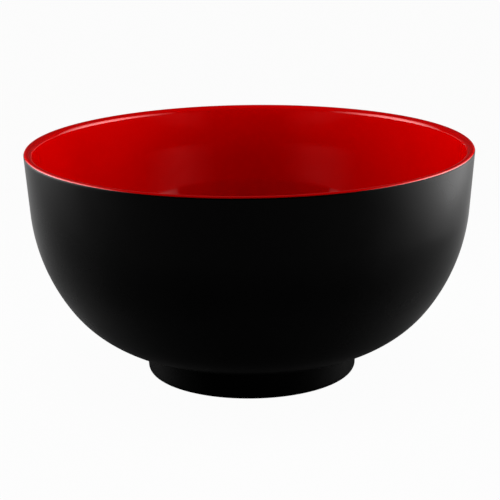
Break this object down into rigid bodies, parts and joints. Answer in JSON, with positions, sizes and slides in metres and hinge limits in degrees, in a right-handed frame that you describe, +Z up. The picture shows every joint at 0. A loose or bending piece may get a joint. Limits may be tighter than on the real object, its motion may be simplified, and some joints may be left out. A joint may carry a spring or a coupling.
{
  "type": "melamine bowl",
  "caption": "Deep round melamine bowl: a matte black outer shell with a drafted foot ring, and a bonded gloss red liner whose rounded lip covers the rim.",
  "frame": {"origin": "on the table, at the middle of the foot ring", "axes": "+Z up along the bowl's axis, from the foot to the open rim"},
  "size_m": [0.1548, 0.1548, 0.08],
  "materials": {
    "black_melamine": "matte black, finely etched by the mould",
    "red_melamine": "gloss red, polished"
  },
  "bodies": {
    "root": {"outer_shell": "black_melamine", "inner_liner": "red_melamine"}
  },
  "joints": []
}
